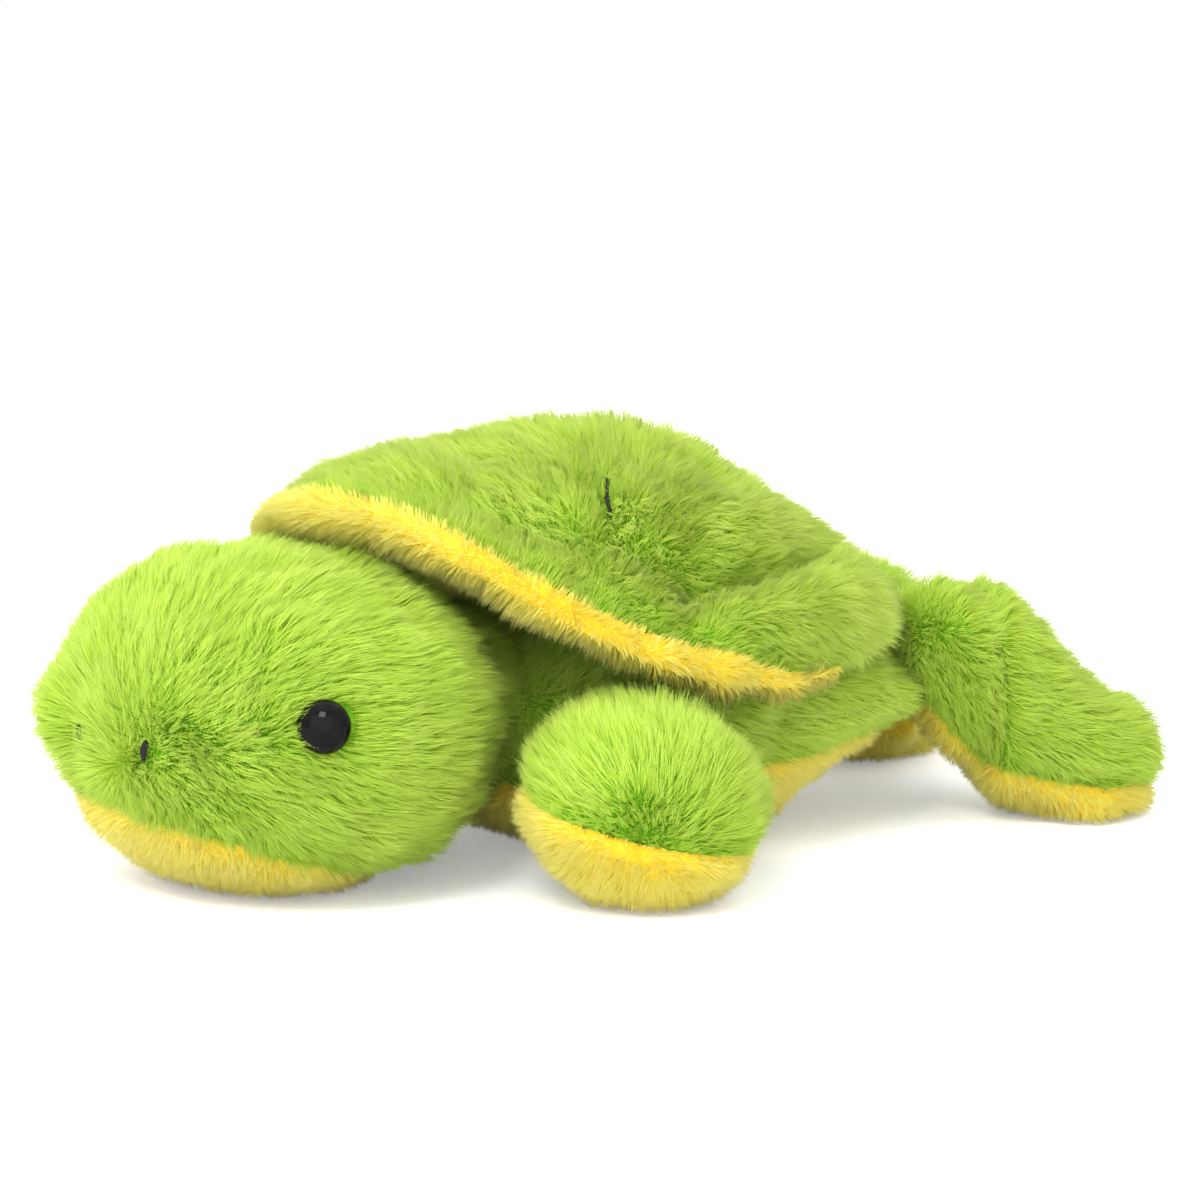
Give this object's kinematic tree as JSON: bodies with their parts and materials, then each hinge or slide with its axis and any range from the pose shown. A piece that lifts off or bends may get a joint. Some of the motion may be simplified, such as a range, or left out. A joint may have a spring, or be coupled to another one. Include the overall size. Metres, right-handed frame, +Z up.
{
  "type": "plush turtle",
  "caption": "Soft stuffed turtle lying on its chest, green pile above and yellow pile below, with a padded shell, dome eyes and splayed legs.",
  "frame": {"origin": "centre of the bounding box at the floor that the turtle lies on", "axes": "+Z up, -Y the way the turtle faces, +X its left side"},
  "size_m": [0.2088, 0.2807, 0.1005],
  "materials": {
    "green_plush": "long soft pile",
    "yellow_plush": "short soft pile",
    "stuffing": "loose fibre filling",
    "pellet_pouch": "plain woven pouch of pellets",
    "eye": "polished",
    "eye_washer": "moulded",
    "stitch_thread": "satin stitched thread"
  },
  "bodies": {
    "trunk": {"torso_back_fur": "green_plush", "torso_belly_fur": "yellow_plush", "torso_stuffing": "stuffing", "bean_pouch": "pellet_pouch", "shell_top_fur": "green_plush", "shell_under_fur": "yellow_plush", "shell_stuffing": "stuffing"},
    "head": {"head_top_fur": "green_plush", "head_chin_fur": "yellow_plush", "head_stuffing": "stuffing", "eye_left": "eye", "eye_right": "eye", "eye_washer_left": "eye_washer", "eye_washer_right": "eye_washer", "nostril_stitch_left": "stitch_thread", "nostril_stitch_right": "stitch_thread"},
    "front_leg_left": {"front_leg_left_fur": "green_plush", "front_leg_left_sole": "yellow_plush", "front_leg_left_stuffing": "stuffing"},
    "front_leg_right": {"front_leg_right_fur": "green_plush", "front_leg_right_sole": "yellow_plush", "front_leg_right_stuffing": "stuffing"},
    "rear_leg_left": {"rear_leg_left_fur": "green_plush", "rear_leg_left_sole": "yellow_plush", "rear_leg_left_stuffing": "stuffing"},
    "rear_leg_right": {"rear_leg_right_fur": "green_plush", "rear_leg_right_sole": "yellow_plush", "rear_leg_right_stuffing": "stuffing"},
    "tail": {"tail_fur": "green_plush", "tail_stuffing": "stuffing"}
  },
  "joints": [
    {"name": "neck_turn", "type": "hinge", "parent": "trunk", "child": "head", "pos_m": [0.0037, -0.044, 0.034], "axis": [0, 0, 1], "range_deg": [-8, 4]},
    {"name": "front_leg_left_swing", "type": "hinge", "parent": "trunk", "child": "front_leg_left", "pos_m": [0.04504, -0.01201, 0.02627], "axis": [0, 0, 1], "range_deg": [-12, 10]},
    {"name": "front_leg_right_swing", "type": "hinge", "parent": "trunk", "child": "front_leg_right", "pos_m": [-0.04541, -0.01197, 0.0239], "axis": [0, 0, 1], "range_deg": [-10, 12]},
    {"name": "rear_leg_left_swing", "type": "hinge", "parent": "trunk", "child": "rear_leg_left", "pos_m": [0.02742, 0.08729, 0.04543], "axis": [0, 0, 1], "range_deg": [-15, 5]},
    {"name": "rear_leg_right_swing", "type": "hinge", "parent": "trunk", "child": "rear_leg_right", "pos_m": [-0.02872, 0.08731, 0.04396], "axis": [0, 0, 1], "range_deg": [-5, 15]},
    {"name": "tail_swing", "type": "hinge", "parent": "trunk", "child": "tail", "pos_m": [-0.0003, 0.09195, 0.03145], "axis": [0, 0, 1], "range_deg": [-15, 15]}
  ]
}
